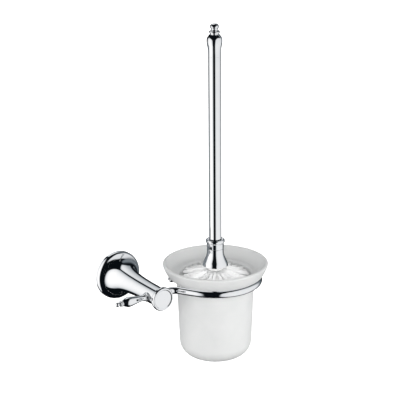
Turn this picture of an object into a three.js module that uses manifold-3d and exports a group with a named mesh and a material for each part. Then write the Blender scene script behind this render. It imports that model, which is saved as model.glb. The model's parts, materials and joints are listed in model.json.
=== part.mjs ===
// Wall-mounted toilet brush holder: a trumpet-shaped chrome arm on a round flange, a wire ring
// clamped through the arm by a turned lever, a frosted glass cup hanging in the ring, and a
// long-handled brush standing in the cup.
//
// Millimetres. The origin is the centre of the mounting plate's back, on the wall. The arm runs
// along -Y, the ring lies in the plane z = 0 to the arm's +X side, and +Z is up.

import * as THREE from "three";
import { mergeVertices } from "three/addons/utils/BufferGeometryUtils.js";
import Module from "manifold-3d";

const wasm = await Module();
wasm.setup();

// ---------------------------------------------------------------------------------------------
// Driving dimensions
// ---------------------------------------------------------------------------------------------

const GAP = 0.3; // left between pieces that touch
const OVERRUN = 1; // how far a cutter runs past what it cuts

// Where the three axes lie
const CUP_X = 82; // the cup's, ring's and brush's common upright axis
const CUP_Y = -78;
const CROSS_S = 78.6; // the clamp's cross axis, as a distance from the wall along the arm

// Wall side, as radii about the arm's axis and distances from the wall
const FLANGE_R = 27.8;
const FLANGE_EDGE_R = 4.4; // rounding of the flange's front edge, which stops at the angle below
const FLANGE_EDGE_TURN = 60;
const FLANGE_BAND = 2.4; // straight part of the flange's rim
const FLANGE_FRONT = 8.6; // seam between the flange and the arm's foot
const FLANGE_HOLLOW_R = 24.8;
const FLANGE_HOLLOW_MOUTH = 2.6; // depth at which the hollow starts to close in
const FLANGE_HOLLOW_NARROW_R = 22.6;
const FLANGE_HOLLOW_DEPTH = 5.2;
const PLATE_R = 22;
const PLATE_THICK = 1.5;
const PLATE_RIM = 4.4;
const PLATE_SCREW_SPREAD = 26; // between the centres of the two wall screw holes
const PLATE_SCREW_R = 2.6;
const SET_SCREW_R = 2;
const SET_SCREW_SOCKET = 2; // depth of its hexagon socket
const SET_SCREW_S = 2.9; // distance of the set screw's axis from the wall
const BOLT_R = 3;
const BOLT_HEAD_R = 5.6; // across the corners
const BOLT_HEAD_THICK = 2.1;
const BOLT_TIP = 19.6;
const WASHER_R = 6.5;

// Arm: its radius is ARM_END_R plus a long flare and a short cove, which both die away from the seam
const ARM_END_R = 10.2;
const ARM_FLARE = 8.4;
const ARM_FLARE_LENGTH = 21;
const ARM_COVE = 3.4;
const ARM_COVE_LENGTH = 4.3;
const ARM_LENGTH = 91;
const ARM_BORE_R = 6.8;
const ARM_WEB = 20; // solid foot that the bolt is screwed into
const CAP_R = 13.3;
const CAP_FACE = 96; // front of the cap's raised rim
const CAP_BEAD_R = 1.4;
const CAP_DISH = 0.9; // how far the face lies behind the rim
const CAP_SPIGOT = 7.5;

// Ring
const WIRE_R = 4;
const RING_R = 49; // of the wire's centre line
const RING_END_ANGLE = 135.5; // degrees about the cup's axis, from +X
const RING_TAIL = 7.5; // length of the wire's straight free end, past the circle
const RING_JOIN_ANGLE = -150; // where the stem runs into the circle
const STEM_BEND_R = 12;
const STEM_END_X = -4.5; // the stem's end, inside the arm
const STUD_R = 2.4;
const STUD_LENGTH_IN = 5; // from the arm's axis into the ring's stem
const STUD_LENGTH_OUT = 24; // from the arm's axis into the lever
const COLLAR_R = 6.2;
const COLLAR_START = 4; // within the arm's side, before the saddle is cut
const COLLAR_END = 13.6; // distance of the collar's and the seat's faces from the arm's axis
const SEAT_R = 5.2;

// Lever, as distances from the arm's axis along -X
const LEVER_START = COLLAR_END + GAP;
const LEVER_NECK_R = 3.2;
const LEVER_BULGE_R = 5.4;
const LEVER_BULGE_AT = 34.5;
const LEVER_BODY_END = 41;
const LEVER_COLLAR_R = 3.5;
const LEVER_COLLAR_LENGTH = 4;
const LEVER_BALL_R = 2.6;
const TIP_SHANK_R = 1.2;
const TIP_SHANK_LENGTH = 3.5; // into the lever's end

// Cup, as radii about its axis and heights above the ring's plane
const GLASS = 4; // wall thickness
const CUP_BASE_THICK = 5;
const CUP_BEND_R = 3; // bend from the wall out into the shoulder
const CUP_FLOOR = -89.9; // underside of the base
const CUP_FOOT_R = 17.4; // rounding between wall and base
const CUP_LOW_R = 40.9; // outer radius where that rounding starts
const CUP_NECK_R = 43.8; // outer radius under the shoulder
const SHOULDER_Z = 4.4; // underside of the shoulder, just above the wire
const SHOULDER_R = 50;
const RIM_R = 59.2;
const RIM_Z = 20.6; // top of the rim

// Brush, as radii about its axis and heights above the ring's plane
const ROD_R = 6.9;
const ROD_WALL = 1;
const ROD_BOTTOM = 39.5;
const ROD_PLUG_LENGTH = 16;
const GRIP_BOTTOM = 253;
const GRIP_SPIGOT = 10;
const GRIP_WAIST = 277.3;
const FINIAL_COLLAR_Z = 279.6; // middle of the collar's bead
const FINIAL_BEAD_R = 1.2;
const FINIAL_COLLAR_R = 6;
const BUTTON_BOTTOM = 281.3;
const BUTTON_SHANK_R = 2;
const BUTTON_SHANK_LENGTH = 7; // into the grip
const BRUSH_TOP = 288.8;
const BELL_RIM_R = 14.3;
const BELL_RIM_Z = 16.9;
const BELL_SEAM_Z = 36.6;
const BELL_NECK_R = 9.4;
const BELL_TOP = 47.5;
const BELL_LIP_R = 10.7;
const BELL_LIP_THICK = 1.7;
const BELL_LIP_HEIGHT = 4.2;
const BELL_RECESS = 2.7; // depth of the lip's hollow round the rod
const BELL_WALL = 1.3;
const BELL_CEILING = 34; // underside of the bell's closed top
const NUT_R = 5.4; // across the corners
const NUT_HEIGHT = 4.5;
const HEAD_STUD_R = 2.6;
const HEAD_STUD_BOTTOM = -20;
const CORE_R = 9.5;
const CORE_TOP = 13;
const CORE_BOTTOM = -69;
const CORE_BOSS_R = 7; // boss that stands up into the bell
const CORE_BOSS_TOP = 24;
const TUFT_CLEARANCE = 2.2; // from the tips to the cup's inner wall
const TUFTS_PER_ROW = 24;
const TUFT_TIP_SHARE = 0.6; // of its row's circle that a ring of tips fills
const NOTCH_R = 24; // where neighbouring tufts part
const ROWS = 8;
const TOP_ROW_Z = 6.4; // middle of the top row
const ROW_PITCH = 10.25;
const ROW_THICK = 6.5;
const CROWN_R = 28;
const CROWN_ROUNDING = 12;

// Fineness
const FINE = 40; // facets round the cup
const MEDIUM = 28;
const SMALL = 18;

// ---------------------------------------------------------------------------------------------
// Materials
// ---------------------------------------------------------------------------------------------

const chrome = () => new THREE.MeshStandardMaterial({ color: 0xe4e6e8, metalness: 1, roughness: 0.06 });
const steel = () => new THREE.MeshStandardMaterial({ color: 0xb4b6b8, metalness: 1, roughness: 0.35 });
const frostedGlass = () =>
  new THREE.MeshStandardMaterial({
    color: 0xe9ebea, metalness: 0, roughness: 0.6, transparent: true, opacity: 0.75,
  });
const whitePlastic = () => new THREE.MeshStandardMaterial({ color: 0xf1f1ee, metalness: 0, roughness: 0.5 });
const bristle = () => new THREE.MeshStandardMaterial({ color: 0xf6f6f4, metalness: 0, roughness: 0.7 });

// ---------------------------------------------------------------------------------------------
// Helpers
// ---------------------------------------------------------------------------------------------

const radians = THREE.MathUtils.degToRad;
const point = (radius, height) => new THREE.Vector2(radius, height);

// Points on an arc in the profile plane, with angles in degrees from the radius direction.
function arc(centreR, centreH, radius, from, to, steps) {
  return Array.from({ length: steps + 1 }, (_, i) => {
    const angle = radians(from + ((to - from) * i) / steps);
    return point(centreR + radius * Math.cos(angle), centreH + radius * Math.sin(angle));
  });
}

// Points where a formula gives the radius at each height.
function along(from, to, steps, radiusAt) {
  return Array.from({ length: steps + 1 }, (_, i) => {
    const height = from + ((to - from) * i) / steps;
    return point(radiusAt(height), height);
  });
}

const smooth = (controls, steps) => new THREE.SplineCurve(controls).getPoints(steps);

// A profile that runs up from the axis and back to it. Its solid turns about three.js's Y axis.
const turned = (profile, facets) => new THREE.LatheGeometry(profile, facets);

// The same for a profile that never reaches the axis: it closes on itself.
const turnedRing = (profile, facets) => new THREE.LatheGeometry([...profile, profile[0]], facets);

const tubeProfile = (inner, outer, low, high) => [
  point(outer, low), point(outer, high), point(inner, high), point(inner, low),
];

// A plain round bar about Y, for cutting holes.
function bar(radius, low, high, facets = SMALL) {
  return new THREE.CylinderGeometry(radius, radius, high - low, facets).translate(0, (low + high) / 2, 0);
}

function toManifold(geometry) {
  const bare = geometry.clone();
  bare.deleteAttribute("normal");
  bare.deleteAttribute("uv");
  const merged = mergeVertices(bare, 1e-4);
  return new wasm.Manifold(
    new wasm.Mesh({
      numProp: 3,
      vertProperties: merged.attributes.position.array,
      triVerts: new Uint32Array(merged.index.array),
    }),
  );
}

function toGeometry(solid) {
  const { vertProperties, triVerts } = solid.getMesh();
  const geometry = new THREE.BufferGeometry();
  geometry.setAttribute("position", new THREE.BufferAttribute(vertProperties, 3));
  geometry.setIndex(new THREE.BufferAttribute(triVerts, 1));
  geometry.computeVertexNormals();
  return geometry;
}

const cut = (geometry, ...tools) =>
  toGeometry(tools.reduce((solid, tool) => solid.subtract(toManifold(tool)), toManifold(geometry)));

const join = (geometry, ...others) =>
  toGeometry(others.reduce((solid, other) => solid.add(toManifold(other)), toManifold(geometry)));

function named(name, geometry, material) {
  const mesh = new THREE.Mesh(geometry, material);
  mesh.name = name;
  return mesh;
}

// ---------------------------------------------------------------------------------------------
// Wall side. Profiles run along the arm: height is the distance from the wall.
// ---------------------------------------------------------------------------------------------

// One curve shapes the flange's front and the arm, which meet at the seam.
function trumpetRadius(s) {
  const fromSeam = FLANGE_FRONT - s;
  return ARM_END_R + ARM_FLARE * Math.exp(fromSeam / ARM_FLARE_LENGTH) +
    ARM_COVE * Math.exp(fromSeam / ARM_COVE_LENGTH);
}

function mountingPlate() {
  const dish = turned(
    [
      point(0, 0), point(PLATE_R, 0), point(PLATE_R, PLATE_RIM),
      point(PLATE_R - PLATE_THICK, PLATE_RIM), point(PLATE_R - PLATE_THICK, PLATE_THICK),
      point(0, PLATE_THICK),
    ],
    MEDIUM,
  );
  const holes = [-1, 1].map((side) =>
    bar(PLATE_SCREW_R, -OVERRUN, PLATE_THICK + OVERRUN).translate((side * PLATE_SCREW_SPREAD) / 2, 0, 0),
  );
  return named("mounting_plate", cut(dish, ...holes), steel());
}

function wallFlange() {
  const hole = BOLT_R + GAP;
  const edge = arc(FLANGE_R - FLANGE_EDGE_R, FLANGE_BAND, FLANGE_EDGE_R, 0, FLANGE_EDGE_TURN, 4);
  const faceStart = edge[edge.length - 1].y + 0.6;
  const shell = turnedRing(
    [
      point(FLANGE_HOLLOW_R, 0), point(FLANGE_R, 0),
      ...edge, ...along(faceStart, FLANGE_FRONT, 3, trumpetRadius),
      point(hole, FLANGE_FRONT), point(hole, FLANGE_HOLLOW_DEPTH),
      point(FLANGE_HOLLOW_NARROW_R, FLANGE_HOLLOW_DEPTH), point(FLANGE_HOLLOW_R, FLANGE_HOLLOW_MOUTH),
    ],
    MEDIUM + 4,
  );
  const screwHole = bar(SET_SCREW_R + GAP, PLATE_R, FLANGE_R + OVERRUN)
    .rotateX(Math.PI / 2)
    .translate(0, SET_SCREW_S, 0);
  return named("wall_flange", cut(shell, screwHole), chrome());
}

// Below the flange's axis, which is +Z in the arm's own group because the group is turned over.
function flangeSetScrew() {
  const low = PLATE_R + GAP;
  const high = FLANGE_R - GAP;
  const socket = bar(SET_SCREW_R / 2, high - SET_SCREW_SOCKET, high + OVERRUN, 6);
  const screw = cut(bar(SET_SCREW_R, low, high), socket);
  return named("flange_set_screw", screw.rotateX(Math.PI / 2).translate(0, SET_SCREW_S, 0), steel());
}

function armBolt() {
  const headLow = PLATE_THICK + GAP;
  const headHigh = headLow + BOLT_HEAD_THICK;
  const head = bar(BOLT_HEAD_R, headLow, headHigh, 6);
  return named("arm_bolt", join(head, bar(BOLT_R, headHigh - OVERRUN, BOLT_TIP)), steel());
}

function armBoltWasher() {
  const low = PLATE_THICK + BOLT_HEAD_THICK + 2 * GAP;
  const high = FLANGE_HOLLOW_DEPTH - GAP;
  return named("arm_bolt_washer", turnedRing(tubeProfile(BOLT_R + GAP, WASHER_R, low, high), SMALL), steel());
}

function trumpetArm() {
  const foot = FLANGE_FRONT + GAP;
  const flareEnd = FLANGE_FRONT + ARM_FLARE_LENGTH;
  const horn = turnedRing(
    [
      ...along(foot, foot + ARM_COVE_LENGTH, 3, trumpetRadius),
      ...along(foot + 1.5 * ARM_COVE_LENGTH, flareEnd, 4, trumpetRadius),
      ...along(flareEnd + ARM_FLARE_LENGTH / 2, ARM_LENGTH, 4, trumpetRadius),
      point(ARM_BORE_R, ARM_LENGTH), point(ARM_BORE_R, ARM_WEB),
      point(BOLT_R + GAP, ARM_WEB), point(BOLT_R + GAP, foot),
    ],
    MEDIUM,
  );
  const crosswise = (radius, from, to) =>
    bar(radius, from, to).rotateZ(-Math.PI / 2).translate(0, CROSS_S, 0);
  const stemHole = crosswise(WIRE_R + GAP, 0, 2 * ARM_END_R);
  const studHole = crosswise(STUD_R + GAP, -2 * ARM_END_R, 0);
  return named("trumpet_arm", cut(horn, stemHole, studHole), chrome());
}

function endCap() {
  const back = ARM_LENGTH + GAP;
  const chamfer = 0.9;
  const profile = [
    point(0, ARM_LENGTH - CAP_SPIGOT), point(ARM_BORE_R - GAP, ARM_LENGTH - CAP_SPIGOT),
    point(ARM_BORE_R - GAP, back), point(CAP_R - chamfer, back), point(CAP_R, back + chamfer),
    ...arc(CAP_R - CAP_BEAD_R, CAP_FACE - CAP_BEAD_R, CAP_BEAD_R, 0, 150, 6),
    point(CAP_R - 2 * CAP_BEAD_R, CAP_FACE - CAP_DISH), point(0, CAP_FACE - CAP_DISH + 0.3),
  ];
  return named("end_cap", turned(profile, MEDIUM), chrome());
}

// ---------------------------------------------------------------------------------------------
// Ring and clamp. Profiles of the clamp run along -X: height is the distance from the arm's axis.
// ---------------------------------------------------------------------------------------------

// The wire's centre line in the plane z = 0: a straight stem, a bend, a tangent into the circle, and a
// straight free end.
function ringPath() {
  const start = radians(RING_JOIN_ANGLE);
  const startPoint = new THREE.Vector2(CUP_X + RING_R * Math.cos(start), CUP_Y + RING_R * Math.sin(start));
  const tangent = new THREE.Vector2(-Math.sin(start), Math.cos(start));
  const cornerX = startPoint.x + (tangent.x * (-CROSS_S - startPoint.y)) / tangent.y;
  const turn = -Math.atan2(tangent.y, tangent.x);
  const bendStart = cornerX - STEM_BEND_R * Math.tan(turn / 2);
  const path = new THREE.Path();
  path.moveTo(STEM_END_X, -CROSS_S);
  path.lineTo(bendStart, -CROSS_S);
  path.absarc(bendStart, -CROSS_S - STEM_BEND_R, STEM_BEND_R, Math.PI / 2, Math.PI / 2 - turn, true);
  path.lineTo(startPoint.x, startPoint.y);
  path.absarc(CUP_X, CUP_Y, RING_R, start, radians(RING_END_ANGLE), false);
  path.lineTo(ringTip().x, ringTip().y);
  return path;
}

function ringTip() {
  const end = radians(RING_END_ANGLE);
  return new THREE.Vector2(
    CUP_X + RING_R * Math.cos(end) - RING_TAIL * Math.sin(end),
    CUP_Y + RING_R * Math.sin(end) + RING_TAIL * Math.cos(end),
  );
}

class FlatCurve extends THREE.Curve {
  constructor(path) {
    super();
    this.path = path;
  }
  getPoint(t, target = new THREE.Vector3()) {
    const { x, y } = this.path.getPointAt(t);
    return target.set(x, y, 0);
  }
}

function holderRing() {
  const section = new THREE.Shape().absarc(0, 0, WIRE_R, 0, 2 * Math.PI);
  const wire = new THREE.ExtrudeGeometry(section, {
    steps: 62, curveSegments: 5, bevelEnabled: false, extrudePath: new FlatCurve(ringPath()),
  });
  const tip = new THREE.SphereGeometry(WIRE_R * 0.995, 12, 8).translate(ringTip().x, ringTip().y, 0);
  const studHole = bar(STUD_R + GAP, STEM_END_X - OVERRUN, STUD_LENGTH_IN + 0.5)
    .rotateZ(-Math.PI / 2)
    .translate(0, -CROSS_S, 0);
  return named("holder_ring", cut(join(wire, tip), studHole), chrome());
}

// A turned collar whose inner end is hollowed to sit on the arm's round side.
function saddle(profile) {
  const armSide = bar(trumpetRadius(CROSS_S - COLLAR_R) + GAP, -20, 20, 64).rotateZ(Math.PI / 2);
  return cut(turnedRing(profile, SMALL), armSide);
}

function ringCollar() {
  const hole = WIRE_R + GAP;
  const chamfer = 1;
  const profile = [
    point(hole, COLLAR_START), point(COLLAR_R, COLLAR_START), point(COLLAR_R, COLLAR_END - chamfer),
    point(COLLAR_R - chamfer, COLLAR_END), point(hole, COLLAR_END),
  ];
  return named("ring_collar", saddle(profile), chrome());
}

function leverSeat() {
  const hole = STUD_R + GAP;
  const profile = [
    point(hole, COLLAR_START), point(SEAT_R, COLLAR_START), point(SEAT_R, COLLAR_END - 1.6),
    point(SEAT_R - 0.9, COLLAR_END), point(hole, COLLAR_END),
  ];
  return named("lever_seat", saddle(profile), chrome());
}

function leverStud() {
  return named("lever_stud", bar(STUD_R, -STUD_LENGTH_IN, STUD_LENGTH_OUT), steel());
}

function leverBody() {
  const outline = smooth(
    [
      point(LEVER_NECK_R + 0.6, LEVER_START), point(LEVER_NECK_R, LEVER_START + 4),
      point(LEVER_NECK_R + 0.9, LEVER_START + 10), point(LEVER_BULGE_R, LEVER_BULGE_AT - 2),
      point(LEVER_BULGE_R - 0.3, LEVER_BULGE_AT + 2), point(LEVER_NECK_R - 0.2, LEVER_BODY_END),
    ],
    12,
  );
  const body = turned([point(0, LEVER_START), ...outline, point(0, LEVER_BODY_END)], SMALL);
  const studHole = bar(STUD_R + GAP, LEVER_START - OVERRUN, STUD_LENGTH_OUT + GAP);
  const tipHoleLow = LEVER_BODY_END - TIP_SHANK_LENGTH - 0.5;
  const tipHole = bar(TIP_SHANK_R + GAP, tipHoleLow, LEVER_BODY_END + OVERRUN, 12);
  return named("lever_body", cut(body, studHole, tipHole), chrome());
}

function leverCollar() {
  const low = LEVER_BODY_END + GAP;
  const high = low + LEVER_COLLAR_LENGTH;
  const hole = TIP_SHANK_R + GAP;
  const profile = [
    point(hole, low), point(LEVER_COLLAR_R - 0.6, low), point(LEVER_COLLAR_R, low + 0.7),
    point(LEVER_COLLAR_R, low + 1.6), point(LEVER_COLLAR_R - 1, low + 2.2),
    point(LEVER_COLLAR_R - 0.7, high), point(hole, high),
  ];
  return named("lever_collar", turnedRing(profile, SMALL), chrome());
}

function leverTip() {
  const low = LEVER_BODY_END + LEVER_COLLAR_LENGTH + 2 * GAP;
  const ball = turned(arc(0, low + LEVER_BALL_R * 0.85, LEVER_BALL_R, -90, 90, 10), SMALL);
  const shank = bar(TIP_SHANK_R, LEVER_BODY_END - TIP_SHANK_LENGTH, low + OVERRUN, 12);
  return named("lever_tip", join(ball, shank), chrome());
}

// ---------------------------------------------------------------------------------------------
// Cup and brush. Profiles run up the upright axis: height is z.
// ---------------------------------------------------------------------------------------------

const CUP_WALL_LOW = CUP_FLOOR + CUP_FOOT_R; // the straight wall runs between these two heights
const CUP_WALL_HIGH = SHOULDER_Z - CUP_BEND_R;

function cupInsideRadius(z) {
  const up = (z - CUP_WALL_LOW) / (CUP_WALL_HIGH - CUP_WALL_LOW);
  return CUP_LOW_R + (CUP_NECK_R - CUP_LOW_R) * up - GLASS;
}

function glassCup() {
  const lipR = GLASS / 2;
  const innerFootR = CUP_FOOT_R - CUP_BASE_THICK;
  const bowl = (inset, lift) =>
    new THREE.CubicBezierCurve(
      point(SHOULDER_R - inset, SHOULDER_Z + lift), point(SHOULDER_R + 4 - inset, SHOULDER_Z + 0.3 + lift),
      point(RIM_R - 2.2 - inset, 12.5 + lift * 0.5), point(RIM_R - inset, RIM_Z - lipR),
    ).getPoints(5);
  const outside = [
    point(0, CUP_FLOOR),
    ...arc(CUP_LOW_R - CUP_FOOT_R, CUP_WALL_LOW, CUP_FOOT_R, -90, 0, 5),
    ...arc(CUP_NECK_R + CUP_BEND_R, CUP_WALL_HIGH, CUP_BEND_R, 180, 90, 3),
    ...bowl(0, 0),
  ];
  const inside = [
    ...bowl(GLASS, GLASS).reverse(),
    ...arc(CUP_NECK_R - GLASS + CUP_BEND_R, CUP_WALL_HIGH + GLASS, CUP_BEND_R, 90, 180, 3),
    ...arc(CUP_LOW_R - GLASS - innerFootR, CUP_WALL_LOW, innerFootR, 0, -90, 4),
    point(0, CUP_FLOOR + CUP_BASE_THICK),
  ];
  const lip = arc(RIM_R - lipR, RIM_Z - lipR, lipR, 30, 150, 3);
  return named("glass_cup", turned([...outside, ...lip, ...inside], FINE), frostedGlass());
}

function handleRod() {
  const tube = tubeProfile(ROD_R - ROD_WALL, ROD_R, ROD_BOTTOM, GRIP_BOTTOM - GAP);
  return named("handle_rod", turnedRing(tube, MEDIUM), chrome());
}

function rodPlug() {
  const plug = tubeProfile(
    HEAD_STUD_R + GAP, ROD_R - ROD_WALL - GAP, ROD_BOTTOM, ROD_BOTTOM + ROD_PLUG_LENGTH,
  );
  return named("rod_plug", turnedRing(plug, SMALL), steel());
}

function handleGrip() {
  const spigotR = ROD_R - ROD_WALL - GAP;
  const vase = smooth(
    [
      point(ROD_R, GRIP_BOTTOM), point(6.95, 258), point(7.5, 263.2), point(8.2, 266.6),
      point(8.45, 270.2), point(8, 273.4), point(6.2, 276), point(4.9, GRIP_WAIST),
    ],
    13,
  );
  const spigotLow = GRIP_BOTTOM - GRIP_SPIGOT;
  const body = turned(
    [
      point(0, spigotLow), point(spigotR, spigotLow), point(spigotR, GRIP_BOTTOM),
      ...vase, point(0, GRIP_WAIST),
    ],
    MEDIUM - 4,
  );
  const holeLow = GRIP_WAIST - BUTTON_SHANK_LENGTH - 1;
  const shankHole = bar(BUTTON_SHANK_R + GAP, holeLow, GRIP_WAIST + OVERRUN);
  return named("handle_grip", cut(body, shankHole), chrome());
}

function finialCollar() {
  const low = GRIP_WAIST + GAP;
  const high = BUTTON_BOTTOM - GAP;
  const hole = BUTTON_SHANK_R + GAP;
  const bead = arc(FINIAL_COLLAR_R - FINIAL_BEAD_R, FINIAL_COLLAR_Z, FINIAL_BEAD_R, -60, 60, 4);
  const profile = [point(hole, low), point(4.9, low), ...bead, point(4.4, high), point(hole, high)];
  return named("finial_collar", turnedRing(profile, SMALL), chrome());
}

function finialButton() {
  const low = BUTTON_BOTTOM;
  const outline = smooth(
    [
      point(3.9, low), point(3.7, 282.6), point(4.6, 284.2), point(4.95, 285.1),
      point(4.3, 286.9), point(2.6, 288.2), point(0, BRUSH_TOP),
    ],
    9,
  );
  const button = turned([point(0, low), ...outline], SMALL);
  const shank = bar(BUTTON_SHANK_R, GRIP_WAIST - BUTTON_SHANK_LENGTH, low + OVERRUN);
  return named("finial_button", join(button, shank), chrome());
}

function bellCollar() {
  const low = BELL_SEAM_Z + GAP;
  const rodHole = ROD_R + GAP;
  const studHole = HEAD_STUD_R + GAP;
  const floor = ROD_BOTTOM - GAP;
  const lipLow = BELL_TOP - BELL_LIP_HEIGHT;
  const lipInside = BELL_LIP_R - BELL_LIP_THICK;
  const lipBeadR = 1.2;
  const profile = [
    point(BELL_NECK_R - 0.3, low), point(BELL_NECK_R, low + 0.4), point(BELL_NECK_R + 0.2, lipLow),
    ...arc(BELL_LIP_R - lipBeadR, lipLow + BELL_LIP_HEIGHT / 2, lipBeadR, -60, 60, 4),
    point(BELL_LIP_R - 1, BELL_TOP), point(lipInside, BELL_TOP),
    point(lipInside - 0.2, BELL_TOP - BELL_RECESS), point(rodHole, BELL_TOP - BELL_RECESS),
    point(rodHole, floor), point(studHole, floor), point(studHole, low),
  ];
  return named("bell_collar", turnedRing(profile, MEDIUM), chrome());
}

// The bell flares below its neck and turns down again at its rim.
function bellOutline(inset, top, steps) {
  const flare = [
    point(BELL_RIM_R - inset, BELL_RIM_Z), point(BELL_RIM_R - 0.9 - inset, 20.3),
    point(11.8 - inset, 23.8), point(10.4 - inset, 27.2), point(9.5 - inset, 31),
    point(BELL_NECK_R - 0.1 - inset, top),
  ];
  return smooth(flare, steps);
}

function bellCover() {
  const profile = [
    ...bellOutline(0, BELL_SEAM_Z, 9),
    point(HEAD_STUD_R + GAP, BELL_SEAM_Z), point(HEAD_STUD_R + GAP, BELL_CEILING),
    ...bellOutline(BELL_WALL, BELL_CEILING, 5).reverse(),
  ];
  return named("bell_cover", turnedRing(profile, MEDIUM), chrome());
}

function bellNut() {
  const high = BELL_CEILING - GAP;
  const low = high - NUT_HEIGHT;
  const hole = bar(HEAD_STUD_R + GAP, low - OVERRUN, high + OVERRUN);
  return named("bell_nut", cut(bar(NUT_R, low, high, 6), hole), steel());
}

function headStud() {
  return named("head_stud", bar(HEAD_STUD_R, HEAD_STUD_BOTTOM, ROD_BOTTOM + ROD_PLUG_LENGTH - 1), steel());
}

function brushCore() {
  const body = turned(
    [
      point(0, CORE_BOTTOM), point(CORE_R - 2, CORE_BOTTOM), point(CORE_R, CORE_BOTTOM + 2),
      point(CORE_R, CORE_TOP - 3), point(CORE_BOSS_R, CORE_TOP),
      point(CORE_BOSS_R, CORE_BOSS_TOP), point(0, CORE_BOSS_TOP),
    ],
    SMALL,
  );
  const hole = bar(HEAD_STUD_R + GAP, HEAD_STUD_BOTTOM - GAP, CORE_BOSS_TOP + OVERRUN);
  return named("brush_core", cut(body, hole), whitePlastic());
}

// A ring of tufts: each is narrow at the core and spreads towards its tip.
function bristleRow(index) {
  const step = (2 * Math.PI) / TUFTS_PER_ROW;
  const phase = (index % 2) * (step / 2);
  const low = TOP_ROW_Z - (index - 1) * ROW_PITCH - ROW_THICK / 2;
  const tipR = cupInsideRadius(low) - TUFT_CLEARANCE;
  const corners = [[NOTCH_R, -0.5], [tipR, -TUFT_TIP_SHARE / 2], [tipR, TUFT_TIP_SHARE / 2]];
  const points = [];
  for (let i = 0; i < TUFTS_PER_ROW; i++) {
    for (const [radius, turn] of corners) {
      const angle = phase + (i + turn) * step;
      points.push(new THREE.Vector2(radius * Math.cos(angle), radius * Math.sin(angle)));
    }
  }
  const outline = new THREE.Shape(points);
  outline.holes.push(new THREE.Path().absarc(0, 0, CORE_R + GAP, 0, 2 * Math.PI, true));
  const disc = new THREE.ExtrudeGeometry(outline, {
    depth: ROW_THICK, bevelEnabled: false, curveSegments: 8,
  });
  disc.translate(0, 0, low).rotateX(-Math.PI / 2);
  return named("bristle_row_" + index, disc, bristle());
}

function bristleCrown() {
  const low = CUP_FLOOR + CUP_BASE_THICK + GAP;
  const high = CORE_BOTTOM - GAP;
  const flatR = CROWN_R - CROWN_ROUNDING;
  const profile = [
    point(0, low), point(flatR, low), ...arc(flatR, low + CROWN_ROUNDING, CROWN_ROUNDING, -75, 0, 4),
    point(CROWN_R - 2, high), point(0, high),
  ];
  return named("bristle_crown", turned(profile, SMALL), bristle());
}

// ---------------------------------------------------------------------------------------------
// Assembly
// ---------------------------------------------------------------------------------------------

const wallSide = new THREE.Group();
wallSide.rotation.x = Math.PI; // the profiles' height runs along -Y
wallSide.add(
  mountingPlate(), wallFlange(), flangeSetScrew(), armBolt(), armBoltWasher(), trumpetArm(), endCap(),
);

const collarSide = new THREE.Group();
collarSide.position.y = -CROSS_S;
collarSide.rotation.z = -Math.PI / 2; // height runs along +X
collarSide.add(ringCollar());

const leverSide = new THREE.Group();
leverSide.position.y = -CROSS_S;
leverSide.rotation.z = Math.PI / 2; // height runs along -X
leverSide.add(leverSeat(), leverStud(), leverBody(), leverCollar(), leverTip());

const upright = new THREE.Group();
upright.position.set(CUP_X, CUP_Y, 0);
upright.rotation.x = Math.PI / 2; // height runs along +Z
upright.add(
  glassCup(), handleRod(), rodPlug(), handleGrip(), finialCollar(), finialButton(),
  bellCollar(), bellCover(), bellNut(), headStud(), brushCore(), bristleCrown(),
);
for (let index = 1; index <= ROWS; index++) upright.add(bristleRow(index));

const holder = new THREE.Group();
holder.add(wallSide, holderRing(), collarSide, leverSide, upright);

export default holder;
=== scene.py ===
"""Wall-mounted toilet brush holder: the finished look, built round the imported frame.

Blender works in metres, in the frame's own axes: the wall is the plane y = 0, the arm runs along
-Y, the ring lies in the plane z = 0 to the arm's +X side, and +Z is up. Outlines are written in
millimetres and come from the boxes of the CAD nodes that the pieces stand for.
"""

import json
import math
import random

import bmesh
import bpy
from mathutils import Matrix, Vector


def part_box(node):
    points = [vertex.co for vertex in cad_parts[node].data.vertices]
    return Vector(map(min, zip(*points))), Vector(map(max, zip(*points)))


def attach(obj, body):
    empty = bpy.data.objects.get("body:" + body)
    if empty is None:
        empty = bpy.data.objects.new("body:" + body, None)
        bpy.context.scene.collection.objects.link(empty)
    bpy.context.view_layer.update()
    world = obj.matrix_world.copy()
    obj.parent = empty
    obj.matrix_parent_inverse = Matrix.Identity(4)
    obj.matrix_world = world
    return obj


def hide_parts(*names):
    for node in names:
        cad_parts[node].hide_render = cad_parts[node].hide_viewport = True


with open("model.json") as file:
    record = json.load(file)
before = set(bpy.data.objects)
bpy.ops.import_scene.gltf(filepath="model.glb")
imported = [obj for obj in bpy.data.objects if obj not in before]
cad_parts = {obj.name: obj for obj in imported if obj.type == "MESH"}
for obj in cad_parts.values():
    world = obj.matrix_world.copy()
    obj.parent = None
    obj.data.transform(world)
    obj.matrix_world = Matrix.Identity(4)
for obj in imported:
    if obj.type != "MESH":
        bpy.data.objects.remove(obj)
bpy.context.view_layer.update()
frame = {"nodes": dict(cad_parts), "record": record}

MM = 0.001
X, Y, Z = range(3)
RECORD = frame["record"]
BODY_OF = {n: body for body, nodes in RECORD["behaviour"]["bodies"].items() for n in nodes}
SLOT_OF = {part["node"]: part["material_slot"] for part in RECORD["subparts"]}


# ---------------------------------------------------------------------------------------------
# Places and sizes, in millimetres, from the frame
# ---------------------------------------------------------------------------------------------

def low(node, axis):
    """Where the CAD node's box starts."""
    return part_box(node)[0][axis] / MM


def high(node, axis):
    """Where the CAD node's box ends."""
    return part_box(node)[1][axis] / MM


def middle(node, axis):
    """The middle of the CAD node's box."""
    return (low(node, axis) + high(node, axis)) / 2


def radius(node, axis=X):
    """Half the size of the CAD node's box."""
    return (high(node, axis) - low(node, axis)) / 2


TOUCH = 0.05  # the hairline left between two visible pieces that meet
CUP_X = middle("handle_rod", X)
CUP_Y = middle("handle_rod", Y)
CLAMP_Y = middle("lever_body", Y)


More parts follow.
